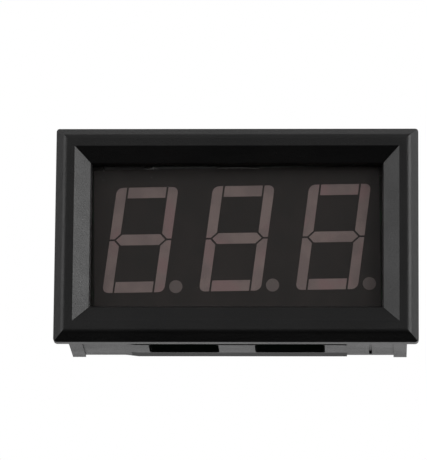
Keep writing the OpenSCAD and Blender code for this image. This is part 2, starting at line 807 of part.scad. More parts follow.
module chip_resistors() color([0.1, 0.1, 0.1]) resistor_row(false);
module resistor_caps() color([0.8, 0.8, 0.8]) resistor_row(true);
module chip_capacitors() color([0.6, 0.5, 0.35]) capacitor_row(false);
module chip_capacitor_caps() color([0.8, 0.8, 0.8]) capacitor_row(true);

// ---- Trimmer ----

// Heights above the board
trimmer_top = terminal_thickness + trimmer_thickness;
rotor_floor = trimmer_top - rotor_well_depth;

module round_along_y(from, to, radius) along_y(from, to) circle(radius);

module trimmer_body() color([0.1, 0.2, 0.5]) on_board(trimmer_place) difference() {
    along_y(terminal_thickness, trimmer_top) square(trimmer_size, center = true);
    round_along_y(rotor_floor, trimmer_top + over, rotor_radius + rotor_clearance);
    round_along_y(rotor_floor - rotor_shaft_length, rotor_floor + embed,
        rotor_shaft_radius + rotor_clearance);
}

// Two terminals on the lower side and one on the upper side
module trimmer_terminals() color([0.75, 0.75, 0.75]) on_board(trimmer_place) {
    parting = terminal_thickness + trimmer_thickness / 3;
    rotate([0, -90, 0]) folded_terminal(trimmer_size, parting, trimmer_terminal_width);
    for (side = [-1, 1]) translate([side * trimmer_terminal_pitch / 2, 0, 0]) rotate([0, 90, 0])
        folded_terminal(trimmer_size, parting, trimmer_terminal_width);
}

// The rotor: a slotted disc on a short shaft
module trimmer_rotor() color([0.9, 0.88, 0.8]) on_board(trimmer_place) difference() {
    top = trimmer_top + rotor_stand;
    union() {
        round_along_y(rotor_floor + rotor_clearance, top, rotor_radius);
        round_along_y(rotor_floor + 2 * rotor_clearance - rotor_shaft_length,
            rotor_floor + rotor_clearance + embed, rotor_shaft_radius);
    }
    along_y(top - rotor_slot_depth, top + over)
        square([rotor_slot_width, 2 * (rotor_radius + over)], center = true);
}

// ---- Lead header ----

// Puts the children at each of the header's pins
module at_each_header_pin() for (i = [0 : header_pins - 1])
    translate([(i - (header_pins - 1) / 2) * header_pin_pitch, 0, 0]) children();

// The shell: a socket with key slots, pin holes in its floor and channels for the feet
module lead_header() color([0.9, 0.88, 0.8]) on_board(header_place) difference() {
    along_y(0, header_depth) square([header_width, header_height], center = true);
    along_y(header_floor, header_depth + over)
        square([header_width - 2 * header_wall, header_socket_height], center = true);
    left_and_right() along_y(header_floor + header_wall, header_depth + over)
        translate([header_pin_pitch / 2, header_socket_height / 2 - embed])
            square([header_slot_width, header_wall + over]);
    at_each_header_pin() {
        along_y(-over, header_floor + over) square(header_pin_width, center = true);
        along_y(-over, header_foot_thickness) translate([-header_pin_width / 2, -header_height])
            square([header_pin_width, header_height]);
    }
}

// Square posts in the socket, each with a foot along the board below the shell
module lead_header_pins() color([0.8, 0.75, 0.5]) on_board(header_place) at_each_header_pin() {
    reach = header_height / 2 + header_foot_reach;
    along_y(0, header_depth - header_pin_recess) square(header_pin_width, center = true);
    along_y(0, header_foot_thickness) translate([-header_pin_width / 2, -reach])
        square([header_pin_width, reach]);
}

// The solder tabs at the shell's ends
module lead_header_tabs() color([0.75, 0.75, 0.75]) on_board(header_place) left_and_right()
    along_z(-header_socket_height / 4, header_socket_height / 4) translate([header_width / 2, 0]) {
        square([header_foot_thickness, header_depth / 3]);
        square([header_foot_reach, header_foot_thickness]);
    }

housing();
window_filter();
display_housing();
digit(0);  // digit_left
digit(1);  // digit_middle
digit(2);  // digit_right
decimal_points();
led_dies();
display_substrate();
display_pins();
pin_solder();
circuit_board();
microcontroller();
microcontroller_leads();
voltage_regulator();
regulator_leads();
polarity_diode();
diode_terminals();
input_capacitor();
capacitor_terminals();
chip_resistors();
resistor_caps();
chip_capacitors();
chip_capacitor_caps();
trimmer_body();
trimmer_terminals();
trimmer_rotor();
lead_header();
lead_header_pins();
lead_header_tabs();
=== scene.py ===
"""Looks of the three-digit panel meter: materials, small details, studio and camera.

Blender 4.5. Lengths are metres in the part's own frame: X points right, Y back through the
panel and Z up. The forms come packed from the CAD model. This script gives its nodes their
materials and adds what is too small for the solids: solder, copper traces, marks and dust, and
a painted highlight along the window's upper edge.
"""
import math
import random

import bmesh
import bpy
from mathutils import Matrix, Vector


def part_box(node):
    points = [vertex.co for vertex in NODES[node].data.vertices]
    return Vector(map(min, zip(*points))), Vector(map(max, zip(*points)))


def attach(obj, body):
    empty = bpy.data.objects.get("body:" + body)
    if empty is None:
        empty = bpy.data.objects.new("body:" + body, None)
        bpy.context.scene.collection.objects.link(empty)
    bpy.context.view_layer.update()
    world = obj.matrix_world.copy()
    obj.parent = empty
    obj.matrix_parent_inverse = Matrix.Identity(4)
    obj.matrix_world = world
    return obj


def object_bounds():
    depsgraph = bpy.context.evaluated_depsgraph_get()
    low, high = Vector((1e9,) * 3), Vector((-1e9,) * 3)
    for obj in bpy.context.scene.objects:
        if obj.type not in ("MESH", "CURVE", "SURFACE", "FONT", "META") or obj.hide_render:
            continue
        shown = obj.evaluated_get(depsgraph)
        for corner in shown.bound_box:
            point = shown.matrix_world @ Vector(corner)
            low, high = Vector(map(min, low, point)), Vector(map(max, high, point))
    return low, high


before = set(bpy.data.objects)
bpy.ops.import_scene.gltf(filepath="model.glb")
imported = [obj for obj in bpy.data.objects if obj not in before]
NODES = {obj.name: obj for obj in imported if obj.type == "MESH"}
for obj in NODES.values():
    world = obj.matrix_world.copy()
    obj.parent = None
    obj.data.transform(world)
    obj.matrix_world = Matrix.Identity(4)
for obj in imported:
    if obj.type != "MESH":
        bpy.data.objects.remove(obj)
cad_low, cad_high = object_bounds()

MM = 0.001


# ---------------------------------------------------------------- camera

# From half a metre away, below the meter and a little to its right
CAMERA_TARGET = Vector((-3.08, 0.42, 1.05)) * MM
CAMERA_DISTANCE = 570.4 * MM
CAMERA_AZIMUTH = math.radians(2.22)
CAMERA_ELEVATION = math.radians(-13.59)
CAMERA_ROLL = math.radians(0.50)
CAMERA_LENS = 339.2


def direction(azimuth, elevation):
    """The unit vector away from the meter, with azimuth from the front towards +X."""
    return Vector((
        math.sin(azimuth) * math.cos(elevation),
        -math.cos(azimuth) * math.cos(elevation),
        math.sin(elevation),
    ))


def make_camera():
    """The camera on its line of sight, turned by its roll."""
    camera = bpy.data.objects.new("camera", bpy.data.cameras.new("camera"))
    bpy.context.scene.collection.objects.link(camera)
    back = direction(CAMERA_AZIMUTH, CAMERA_ELEVATION)
    level = Vector((math.cos(CAMERA_AZIMUTH), math.sin(CAMERA_AZIMUTH), 0))
    upright = back.cross(level)
    right = level * math.cos(CAMERA_ROLL) + upright * math.sin(CAMERA_ROLL)
    up = upright * math.cos(CAMERA_ROLL) - level * math.sin(CAMERA_ROLL)
    place = Matrix((right, up, back)).transposed().to_4x4()
    place.translation = CAMERA_TARGET + back * CAMERA_DISTANCE
    camera.matrix_world = place
    camera.data.lens = CAMERA_LENS
    camera.data.sensor_width = 36
    camera.data.clip_start = 0.01
    camera.data.clip_end = 20
    bpy.context.scene.camera = camera


# ---------------------------------------------------------------- node trees

class Tree:
    """A node tree, with short calls for the nodes that the looks need."""

    def __init__(self, tree):
        self.tree = tree
        self.tree.nodes.clear()

    def node(self, kind, **settings):
        """A new node, with its settings."""
        made = self.tree.nodes.new(kind)
        for key, value in settings.items():
            setattr(made, key, value)
        return made

    def link(self, source, target):
        self.tree.links.new(source, target)

    def feed(self, value, socket):
        """Sets a socket to a number or a colour, or links another node's output to it."""
        if isinstance(value, (int, float)):
            socket.default_value = value
        elif isinstance(value, tuple):
            socket.default_value = (*value, 1)
        else:
            self.link(value, socket)

    def split(self, vector):
        """A vector's X, Y and Z."""
        made = self.node("ShaderNodeSeparateXYZ")
        self.link(vector, made.inputs[0])
        return made.outputs

    def ramp(self, source, low, high, at_low=0.0, at_high=1.0):
        """A smooth step from one value to another as the source goes from low to high."""
        made = self.node("ShaderNodeMapRange", interpolation_type="SMOOTHSTEP")
        for key, value in (("From Min", low), ("From Max", high),
                           ("To Min", at_low), ("To Max", at_high)):
            made.inputs[key].default_value = value
        self.link(source, made.inputs["Value"])
        return made.outputs["Result"]

    def math(self, operation, *values):
        """A sum or another operation on numbers and outputs."""
        made = self.node("ShaderNodeMath", operation=operation)
        for value, socket in zip(values, made.inputs):
            self.feed(value, socket)
        return made.outputs[0]

    def blend(self, share, first, second):
        """A number between two others."""
        made = self.node("ShaderNodeMix", data_type="FLOAT")
        for value, socket in ((share, 0), (first, 2), (second, 3)):
            self.feed(value, made.inputs[socket])
        return made.outputs[0]

    def mix(self, share, first, second):
        """A colour between two others, each a colour or another node's output."""
        made = self.node("ShaderNodeMix", data_type="RGBA")
        for value, socket in ((share, 0), (first, 6), (second, 7)):
            self.feed(value, made.inputs[socket])
        return made.outputs[2]

    def length(self, first, second):
        """The length of a flat vector."""
        squares = (self.math("MULTIPLY", first, first), self.math("MULTIPLY", second, second))
        return self.math("SQRT", self.math("ADD", *squares))


class Shader(Tree):
    """A material with a Principled body, laid out by the place on the object."""

    def __init__(self, name):
        self.material = bpy.data.materials.new(name)
        self.material.use_nodes = True
        super().__init__(self.material.node_tree)
        self.output = self.node("ShaderNodeOutputMaterial")
        self.body = self.node("ShaderNodeBsdfPrincipled")
        self.link(self.body.outputs[0], self.output.inputs["Surface"])
        self.place = self.node("ShaderNodeTexCoord").outputs["Object"]
        self.axes = None

    def set(self, **values):
        """Feeds the body's sockets. A name's underscores stand for spaces."""
        for key, value in values.items():
            self.feed(value, self.body.inputs[key.replace("_", " ")])
        return self

    def along(self, axis):
        """The place along X, Y or Z, in metres."""
        if self.axes is None:
            self.axes = self.split(self.place)
        return self.axes[axis]

    def noise(self, size, detail=2, roughness=0.5, stretch=None):
        """Noise whose grains are about size metres across."""
        where = self.place
        if stretch:
            mapping = self.node("ShaderNodeMapping")
            mapping.inputs["Scale"].default_value = stretch
            self.link(where, mapping.inputs["Vector"])
            where = mapping.outputs[0]
        made = self.node("ShaderNodeTexNoise")
        made.inputs["Scale"].default_value = 1 / size
        made.inputs["Detail"].default_value = detail
        made.inputs["Roughness"].default_value = roughness
        self.link(where, made.inputs["Vector"])
        return made.outputs["Fac"]

    def band(self, axis, low, high, edge=0.02 * MM):
        """1 between two places along an axis and 0 outside, with soft edges."""
        start = self.ramp(self.along(axis), low - edge, low + edge)
        end = self.ramp(self.along(axis), high - edge, high + edge, 1, 0)
        return self.math("MULTIPLY", start, end)

    def bump(self, height, distance):
        """Relief of the given depth in metres, over any bump made before."""
        made = self.node("ShaderNodeBump")
        made.inputs["Distance"].default_value = distance
        self.link(height, made.inputs["Height"])
        normal = self.body.inputs["Normal"]
        if normal.is_linked:
            self.link(normal.links[0].from_socket, made.inputs["Normal"])
        self.link(made.outputs[0], normal)
        return self


# ---------------------------------------------------------------- materials

X, Y, Z = range(3)


# The raised pads on the housing's upper and lower walls, which are duller along their rear edge
PAD_LEVEL = 12.65 * MM
PAD_REACH = 14.4 * MM
DULL_START = 12.72 * MM
DULL_FADE = 0.15 * MM


def housing_plastic():
    """Black ABS from an eroded mould: satin, with a tight grain and faint flow marks."""
    s = Shader("housing_plastic").set(IOR=1.5)
    drift = s.noise(9 * MM, detail=3)
    flow = s.noise(3 * MM, detail=3, stretch=(0.25, 1, 1))
    grain = s.noise(0.22 * MM, detail=3, roughness=0.65)
    pits = s.noise(0.6 * MM, detail=2, roughness=0.7)
    s.set(Base_Color=s.mix(s.ramp(drift, 0.35, 0.65), (0.0044, 0.0044, 0.0046), (0.0060, 0.0058, 0.0058)))
    sheen = s.math("ADD", s.ramp(flow, 0.3, 0.7, 0.33, 0.39), s.ramp(grain, 0.3, 0.7, -0.03, 0.05))
    pads = s.math("MULTIPLY", s.math("GREATER_THAN", s.math("ABSOLUTE", s.along(Z)), PAD_LEVEL),
                  s.math("LESS_THAN", s.math("ABSOLUTE", s.along(X)), PAD_REACH))
    dull = s.math("MULTIPLY", pads, s.ramp(s.along(Y), DULL_START, DULL_START + DULL_FADE, 0, 0.22))
    s.set(Roughness=s.math("ADD", sheen, dull))
    s.bump(s.ramp(pits, 0.4, 0.8), 0.005 * MM)
    s.bump(s.ramp(grain, 0.3, 0.7), 0.013 * MM)
    return s.material


def smoked_filter():
    """Smoked acrylic: a thin brown-black sheet with a polished face."""
    s = Shader("smoked_filter").set(IOR=1.49, Alpha=0.22)
    haze = s.noise(6 * MM, detail=2)
    wipe = s.noise(1.4 * MM, detail=3, stretch=(1, 1, 0.25))
    s.set(Base_Color=s.mix(s.ramp(haze, 0.3, 0.7), (0.024, 0.0195, 0.0178), (0.030, 0.0242, 0.0222)))
    s.set(Roughness=s.math("ADD", s.ramp(haze, 0.3, 0.7, 0.10, 0.15), s.ramp(wipe, 0.5, 0.8, 0, 0.06)))
    return s.material


def display_plastic():
    """The display's dark shell: matt, with a faint warm cloud."""
    s = Shader("display_plastic").set(IOR=1.5)
    cloud = s.noise(2.5 * MM, detail=2)
    grain = s.noise(0.3 * MM, detail=2)
    s.set(Base_Color=s.mix(s.ramp(cloud, 0.35, 0.65), (0.034, 0.0305, 0.0285), (0.042, 0.0355, 0.033)))
    s.set(Roughness=s.ramp(grain, 0.3, 0.7, 0.48, 0.56))
    s.bump(grain, 0.006 * MM)
    return s.material


def segment_resin(name, light, dark, pink):
    """Milky cast resin with cloudy patches, and pink where the filler has settled."""
    s = Shader(name).set(IOR=1.5)
    cloud = s.noise(2.6 * MM, detail=2, roughness=0.5)
    blush = s.noise(3.4 * MM, detail=2, roughness=0.45, stretch=(1, 1, 0.8))
    fine = s.noise(0.45 * MM, detail=2)
    tone = s.mix(s.ramp(cloud, 0.38, 0.62), light, dark)
    tone = s.mix(s.ramp(blush, 0.50, 0.68), tone, pink)
    s.set(Base_Color=s.mix(s.ramp(fine, 0.5, 0.8, 0, 0.12), tone, dark))
    s.set(Roughness=s.ramp(fine, 0.3, 0.7, 0.40, 0.50))
    s.bump(fine, 0.004 * MM)
    return s.material


def laminate(name, base, other, rough=0.3):
    """Solder mask over woven glass."""
    s = Shader(name).set(IOR=1.5)
    cloud = s.noise(4 * MM, detail=2)
    weave = s.math("ADD", s.noise(0.35 * MM, detail=1, stretch=(1, 1, 0.15)),
                   s.noise(0.35 * MM, detail=1, stretch=(0.15, 1, 1)))
    s.set(Base_Color=s.mix(s.ramp(cloud, 0.3, 0.7), base, other))
    s.set(Roughness=s.ramp(weave, 0.7, 1.3, rough, rough + 0.10))
    s.bump(weave, 0.003 * MM)
    return s.material


def moulded(name, light, dark, rough, grain_size=0.12 * MM, depth=0.004 * MM, marks=None):
    """A moulded or fired body: two close tones, a grain of its own size, and its printed marks."""
    s = Shader(name).set(IOR=1.5)
    grain = s.noise(grain_size, detail=3)
    tone = s.mix(s.ramp(grain, 0.3, 0.7), dark, light)
    if marks:
        share, colour = marks(s)
        tone = s.mix(share, tone, colour)
    s.set(Base_Color=tone, Roughness=s.ramp(grain, 0.3, 0.7, rough, rough + 0.1))
    s.bump(grain, depth)
    return s.material


def metal(name, light, dark, rough, grain_size=0.3 * MM, depth=0.003 * MM):
    """A plated or soldered metal: two close tones, with uneven gloss."""
    s = Shader(name).set(Metallic=1.0)
    grain = s.noise(grain_size, detail=3)
    s.set(Base_Color=s.mix(s.ramp(grain, 0.3, 0.7), dark, light))
    s.set(Roughness=s.ramp(grain, 0.3, 0.7, rough, rough + 0.14))
    s.bump(grain, depth)
    return s.material


def end_band(node, share, colour):
    """Marks for moulded(): a printed band over the left end of a body, given by shares of its length."""
    def marks(shader):
        low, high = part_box(node)
        start, end = (low.x + part * (high.x - low.x) for part in share)
        return shader.band(X, start, end), colour
    return marks


PIN_DOT_PLACE = (0.7 * MM, 0.8 * MM)
PIN_DOT_RADIUS = 0.29 * MM
PIN_DOT_EDGE = 0.03 * MM


def first_pin_dot(shader):
    """Marks for moulded(): the moulded dot beside the controller's first lead."""
    low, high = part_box("microcontroller")
    across = shader.math("SUBTRACT", shader.along(X), high.x - PIN_DOT_PLACE[0])
    upward = shader.math("SUBTRACT", shader.along(Z), low.z + PIN_DOT_PLACE[1])
    away = shader.length(across, upward)
    dot = shader.ramp(away, PIN_DOT_RADIUS - PIN_DOT_EDGE, PIN_DOT_RADIUS + PIN_DOT_EDGE, 1, 0)
    return dot, (0.045, 0.045, 0.047)


def give(material, *names):
    """Puts a material on CAD nodes, in every slot that they have."""
    for name in names:
        for slot in NODES[name].material_slots:
            slot.material = material


def dress_nodes():
    give(housing_plastic(), "housing")
    give(smoked_filter(), "window_filter")
    give(display_plastic(), "display_housing")
    give(segment_resin("segment_resin", (0.54, 0.42, 0.395), (0.46, 0.355, 0.340), (0.55, 0.375, 0.37)),
         "digit_left", "digit_middle", "digit_right")
    give(segment_resin("point_resin", (0.295, 0.245, 0.235), (0.28, 0.235, 0.225), (0.30, 0.24, 0.232)),
         "decimal_points")
    give(metal("die_gold", (0.85, 0.62, 0.25), (0.70, 0.46, 0.15), 0.3, 0.05 * MM), "led_dies")
    give(laminate("substrate_laminate", (0.09, 0.16, 0.045), (0.07, 0.13, 0.035)), "display_substrate")
    give(laminate("board_laminate", (0.007, 0.060, 0.022), (0.010, 0.078, 0.028)), "circuit_board")
    give(solder(), "pin_solder")
    tinned = metal("tinned_metal", (0.66, 0.66, 0.64), (0.50, 0.50, 0.48), 0.3, 0.1 * MM)
    give(tinned, "display_pins", "microcontroller_leads", "regulator_leads", "diode_terminals",
         "capacitor_terminals", "resistor_caps", "chip_capacitor_caps", "trimmer_terminals",
         "lead_header_tabs")
    give(metal("header_pin_metal", (0.80, 0.76, 0.62), (0.66, 0.62, 0.48), 0.22), "lead_header_pins")
    black = ((0.022, 0.022, 0.023), (0.014, 0.014, 0.015), 0.5)
    give(moulded("chip_plastic", *black, marks=first_pin_dot), "microcontroller")
    give(moulded("regulator_plastic", *black), "voltage_regulator")
    cathode = end_band("polarity_diode", (0.14, 0.26), (0.30, 0.30, 0.30))
    give(moulded("diode_plastic", *black, marks=cathode), "polarity_diode")
    plus = end_band("input_capacitor", (0.10, 0.30), (0.10, 0.03, 0.008))
    give(moulded("capacitor_resin", (0.60, 0.33, 0.035), (0.50, 0.26, 0.025), 0.4, marks=plus),
         "input_capacitor")
    give(moulded("resistor_glaze", (0.012, 0.012, 0.014), (0.02, 0.02, 0.024), 0.25), "chip_resistors")
    give(moulded("ceramic_body", (0.42, 0.29, 0.17), (0.34, 0.22, 0.12), 0.4), "chip_capacitors")
    give(moulded("trimmer_plastic", (0.015, 0.075, 0.26), (0.012, 0.06, 0.21), 0.35), "trimmer_body")
    give(moulded("rotor_plastic", (0.72, 0.70, 0.64), (0.62, 0.60, 0.55), 0.35), "trimmer_rotor")
    give(moulded("header_plastic", (0.74, 0.71, 0.62), (0.66, 0.62, 0.53), 0.4), "lead_header")


def solder():
    """The one solder material, made when it is first asked for."""
    found = bpy.data.materials.get("solder")
    return found or metal("solder", (0.74, 0.74, 0.72), (0.58, 0.58, 0.56), 0.2)


# ---------------------------------------------------------------- small pieces

def piece(name, mesh, material):
    """Makes a mesh piece that rides on the meter and takes its finish from a material slot."""
    made = bpy.data.objects.new(name, mesh)
    bpy.context.scene.collection.objects.link(made)
    mesh.materials.append(material)
    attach(made, "meter")


def finished(work, name, smooth=False):
    """The mesh of a finished bmesh, with its faces turned outwards."""
    mesh = bpy.data.meshes.new(name)
    bmesh.ops.recalc_face_normals(work, faces=work.faces)
    work.to_mesh(mesh)
    work.free()
    if smooth:
        mesh.shade_smooth()
    return mesh


SAME_PLACE = 0.001 * MM


def join_loops(work, loops):
    """Faces between each loop of vertices and the next."""
    for here, there in zip(loops, loops[1:]):
        for k in range(len(here)):
            n = (k + 1) % len(here)
            work.faces.new((here[k], here[n], there[n], there[k]))


def cap_ends(work, loops):
    """Faces over the first and the last of the loops."""
    work.faces.new(loops[0][::-1])
    work.faces.new(loops[-1])


def ribbon(work, points, width, low, high, closed=False):
    """A flat mitred strip along points (x, z), from y = low to y = high."""
    points = [Vector(p) for p in points]
    points = [p for i, p in enumerate(points) if i == 0 or (p - points[i - 1]).length > SAME_PLACE]
    last = len(points) - 1
    rows = []
    for i, point in enumerate(points):
        before = (point - points[i - 1]).normalized() if i or closed else None
        after = (points[(i + 1) % len(points)] - point).normalized() if i < last or closed else None
        before, after = before or after, after or before
        along = (before + after).normalized()
        across = Vector((-along.y, along.x))
        reach = across * (width / 2 / across.dot(Vector((-after.y, after.x))))
        rows.append([work.verts.new((p.x, y, p.y)) for p, y in (
            (point - reach, low), (point + reach, low), (point + reach, high), (point - reach, high))])
    join_loops(work, rows + rows[:1] if closed else rows)
    if not closed:
        cap_ends(work, rows)


# How far up a solder hump each ring lies, and how far out, as shares of its height and its spread
HUMP = ((0, 1), (0.25, 0.8), (0.7, 0.35), (1, -0.55))
HUMP_SINK = 0.02 * MM
HUMP_CORNER = 0.12 * MM
CORNERS = ((1, 1), (-1, 1), (-1, -1), (1, -1))


def hump(work, centre, size, spread, height, low, steps=6):
    """A low hump of solder on a footprint (x, z) of a size, spread out round it."""
    rings = []
    for rise, reach in HUMP:
        half = (size[0] / 2 + reach * spread, size[1] / 2 + reach * spread)
        corner = min(HUMP_CORNER, min(half) * 0.6)
        level = low + (rise * height or -HUMP_SINK)
        ring = []
        for quarter, (side, end) in enumerate(CORNERS):
            for step in range(steps + 1):
                turn = math.pi / 2 * (quarter + step / steps)
                ring.append(work.verts.new((
                    centre[0] + side * (half[0] - corner) + corner * math.cos(turn),
                    level,
                    centre[1] + end * (half[1] - corner) + corner * math.sin(turn))))
        rings.append(ring)
    join_loops(work, rings)
    cap_ends(work, rings)


def flat_ring(work, centre, inner, outer, low, high, sides=24):
    """A flat ring round centre (x, z)."""
    loops = []
    for radius, y in ((inner, low), (outer, low), (outer, high), (inner, high)):
        loops.append([work.verts.new((centre[0] + radius * math.cos(math.tau * k / sides), y,
                                      centre[1] + radius * math.sin(math.tau * k / sides)))
                      for k in range(sides)])
    join_loops(work, loops + loops[:1])


# ---------------------------------------------------------------- the board's back

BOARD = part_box("circuit_board")[1].y

# The lowest and highest Y of the copper and of the print, both sunk a little into the board
COPPER = (BOARD - 0.01 * MM, BOARD + 0.03 * MM)
PRINT = (BOARD - 0.005 * MM, BOARD + 0.018 * MM)
PRINT_WIDTH = 0.15 * MM

# Routes: their widths, the pitch of those side by side, and how far a wide one cuts its corners
TRACE = 0.16 * MM
POWER_TRACE = 0.7 * MM
LANE = 0.22 * MM
TURN = 1.0 * MM
VIA_RADII = (0.14 * MM, 0.30 * MM)

# Where the supply's route runs down beside the controller, and across under the display's pins
SUPPLY_LANE = 10.4 * MM
SUPPLY_BOTTOM = -9.7 * MM

# How far in from a terminal's end a route starts, and what counts as sticking out of a body
STUB = 0.2 * MM
CLEAR = 0.1 * MM


def centre_of(node):
    """The middle of a node's box."""
    low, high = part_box(node)
    return (low + high) / 2


def islands(node):
    """The boxes (low, high) of a node's separate solids."""
    work = bmesh.new()
    work.from_mesh(NODES[node].data)
    bmesh.ops.remove_doubles(work, verts=work.verts, dist=1e-7)
    left, boxes = set(work.verts), []
    while left:
        group, waiting = set(), [left.pop()]
        while waiting:
            vertex = waiting.pop()
            group.add(vertex)
            found = {link.other_vert(vertex) for link in vertex.link_edges} & left
            left -= found
            waiting += found
        low = Vector([min(v.co[axis] for v in group) for axis in (X, Y, Z)])
        high = Vector([max(v.co[axis] for v in group) for axis in (X, Y, Z)])
        boxes.append((low, high))
    work.free()
    return sorted(boxes, key=lambda b: (round(b[0].z, 4), b[0].x))


def feet(node, body, reach):
    """Footprints (x, z, width, depth) of the ends of a node's solids that stick out of a body's box."""
    low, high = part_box(body)
    prints = []
    for start, end in islands(node):
        middle = (start + end) / 2
        width, depth = end.x - start.x, end.z - start.z
        if end.z > high.z + CLEAR:
            prints.append((middle.x, end.z - reach / 2, width, reach))
        if start.z < low.z - CLEAR:
            prints.append((middle.x, start.z + reach / 2, width, reach))
        if end.x > high.x + CLEAR:
            prints.append((end.x - reach / 2, middle.z, reach, depth))
        if start.x < low.x - CLEAR:
            prints.append((start.x + reach / 2, middle.z, reach, depth))
    return prints


def row(prints, line=None, above=True):
    """The centres (x, z) of the footprints on one side of a line along X, from left to right."""
    return sorted(foot[:2] for foot in prints if line is None or (foot[1] > line) == above)


# Terminals, their body, and in mm how far the foot reaches in and the solder spreads and climbs
SOLDERED = (
    ("resistor_caps", "chip_resistors", 0.3, 0.16, 0.24),
    ("chip_capacitor_caps", "chip_capacitors", 0.4, 0.20, 0.36),
    ("diode_terminals", "polarity_diode", 0.4, 0.30, 0.40),
    ("capacitor_terminals", "input_capacitor", 0.4, 0.30, 0.40),
    ("trimmer_terminals", "trimmer_body", 0.4, 0.22, 0.26),
    ("regulator_leads", "voltage_regulator", 0.6, 0.20, 0.26),
    ("lead_header_tabs", "lead_header", 0.8, 0.25, 0.22),
    ("lead_header_pins", "lead_header", 0.8, 0.20, 0.24),
    ("microcontroller_leads", "microcontroller", 0.55, 0.07, 0.12),
)


def solder_fillets():
    """A hump of solder round the foot of each surface-mounted terminal."""
    work = bmesh.new()
    for node, body, reach, spread, climb in SOLDERED:
        for x, z, width, depth in feet(node, body, reach * MM):
            hump(work, (x, z), (width, depth), spread * MM, climb * MM, BOARD)
    piece("solder_fillets", finished(work, "solder_fillets", smooth=True), solder())


def dogleg(start, end, level, cut=0.35 * MM):
    """A route along Z to a level, across with cut corners, and along Z to the end."""
    across = end[0] - start[0]
    down, up = level - start[1], end[1] - level
    cut = min(cut, abs(across) / 2, abs(down), abs(up))
    side = math.copysign(cut, across)
    return [start, (start[0], level - math.copysign(cut, down)), (start[0] + side, level),
            (end[0] - side, level), (end[0], level + math.copysign(cut, up)), end]


def signal_routes():
    """Routes between the controller, its resistors and capacitors, and the display's pins."""
    leads = feet("microcontroller_leads", "microcontroller", STUB)
    lower, upper = row(leads, 0, False), row(leads, 0)
    ends = feet("resistor_caps", "chip_resistors", STUB)
    middle = centre_of("chip_resistors").z
    near, far = row(ends, middle), row(ends, middle, False)
    ends = feet("chip_capacitor_caps", "chip_capacitors", STUB)
    middle = centre_of("chip_capacitors").z
    inner, outer = row(ends, middle, False), row(ends, middle)
    pins = sorted(((a.x + b.x) / 2, (a.z + b.z) / 2) for a, b in islands("display_pins") if a.z < 0)
    routes, vias = [], []
    for step in range(4):
        level = lower[0][1] - LANE * (1.4 + step)
        for lead, resistor in ((1 + step, step), (-2 - step, -1 - step)):
            routes.append(dogleg(lower[lead], near[resistor], level))
    level = (far[0][1] + pins[0][1]) / 2 + 0.3 * MM
    for k in (0, 1, 2, -1, -2, -3):
        routes.append(dogleg(far[k], pins[k], level))
    for k in (3, 4):
        vias.append((far[k][0], level - 0.15 * MM))
        routes.append([far[k], vias[-1]])
    for step, (lead, capacitor) in enumerate(((1, 0), (3, 1), (-2, -1), (-4, -2))):
        routes.append(dogleg(upper[lead], inner[capacitor], upper[0][1] + LANE * (1.2 + step % 2)))
    for k, rise in ((0, 0.8), (2, 1.7), (4, 0.8), (5, 1.4), (-3, 1.7), (-1, 0.8)):
        vias.append((upper[k][0], upper[k][1] + rise * MM))
        routes.append([upper[k], vias[-1]])
    return routes, vias, outer


def power_routes(outer):
    """Wide routes between the header, the supply parts and the capacitors' ground ends."""
    header = row(feet("lead_header_pins", "lead_header", 0.8 * MM))
    diode = row(feet("diode_terminals", "polarity_diode", 0.4 * MM))
    tantalum = row(feet("capacitor_terminals", "input_capacitor", 0.4 * MM))
    regulator = row(feet("regulator_leads", "voltage_regulator", 0.6 * MM),
                    centre_of("voltage_regulator").z, False)
    trimmer = row(feet("trimmer_terminals", "trimmer_body", 0.4 * MM), centre_of("trimmer_body").z)
    start, end = header[0], tantalum[-1]
    supply = [
        start,
        (start[0], start[1] - TURN),
        (SUPPLY_LANE, start[1] - TURN - (start[0] - SUPPLY_LANE)),
        (SUPPLY_LANE, SUPPLY_BOTTOM + TURN),
        (SUPPLY_LANE - TURN, SUPPLY_BOTTOM),
        (end[0] + TURN, SUPPLY_BOTTOM),
        (end[0], SUPPLY_BOTTOM + TURN),
        end,
    ]
    ground = outer[0][1] + 0.75 * MM
    bar = [(outer[0][0] - 1.2 * MM, ground), (outer[-1][0] + 1.2 * MM, ground)]
    routes = [
        supply,
        dogleg(tantalum[0], diode[0], (tantalum[0][1] + diode[0][1]) / 2, TURN),
        dogleg(diode[-1], regulator[-1], (regulator[-1][1] + diode[-1][1]) / 2 + 0.6 * MM, TURN),
        dogleg(header[-1], trimmer[-1], -1.2 * MM, TURN),
        bar,
    ]
    routes += [[foot, (foot[0], ground)] for foot in outer]
    sense = (header[1][0], header[1][1] - 2.1 * MM)
    routes.append([header[1], sense])
    return routes, [*bar, sense]


def board_copper():
    """Copper routes under the green mask, and the plated rims of the small holes that join layers."""
    signals, holes, outer = signal_routes()
    supplies, more = power_routes(outer)
    work = bmesh.new()
    for route in signals:
        ribbon(work, route, TRACE, *COPPER)
    for route in supplies:
        ribbon(work, route, POWER_TRACE, *COPPER)
    mask = laminate("masked_copper", (0.014, 0.115, 0.038), (0.018, 0.14, 0.046), 0.22)
    piece("board_traces", finished(work, "board_traces"), mask)
    work = bmesh.new()
    for hole in holes + more:
        flat_ring(work, hole, *VIA_RADII, COPPER[0], COPPER[1] + 0.02 * MM)
    piece("board_vias", finished(work, "board_vias"), solder())


PRINT_MARGIN = 0.55 * MM


def print_line(work, start, end, width=PRINT_WIDTH):
    """A straight printed line on the board."""
    ribbon(work, [start, end], width, *PRINT)


def print_outline(work, node):
    """A printed rectangle round a node on the board."""
    low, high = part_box(node)
    x = (low.x - PRINT_MARGIN, high.x + PRINT_MARGIN)
    z = (low.z - PRINT_MARGIN, high.z + PRINT_MARGIN)
    corners = [(x[0], z[0]), (x[1], z[0]), (x[1], z[1]), (x[0], z[1])]
    ribbon(work, corners, PRINT_WIDTH, *PRINT, closed=True)


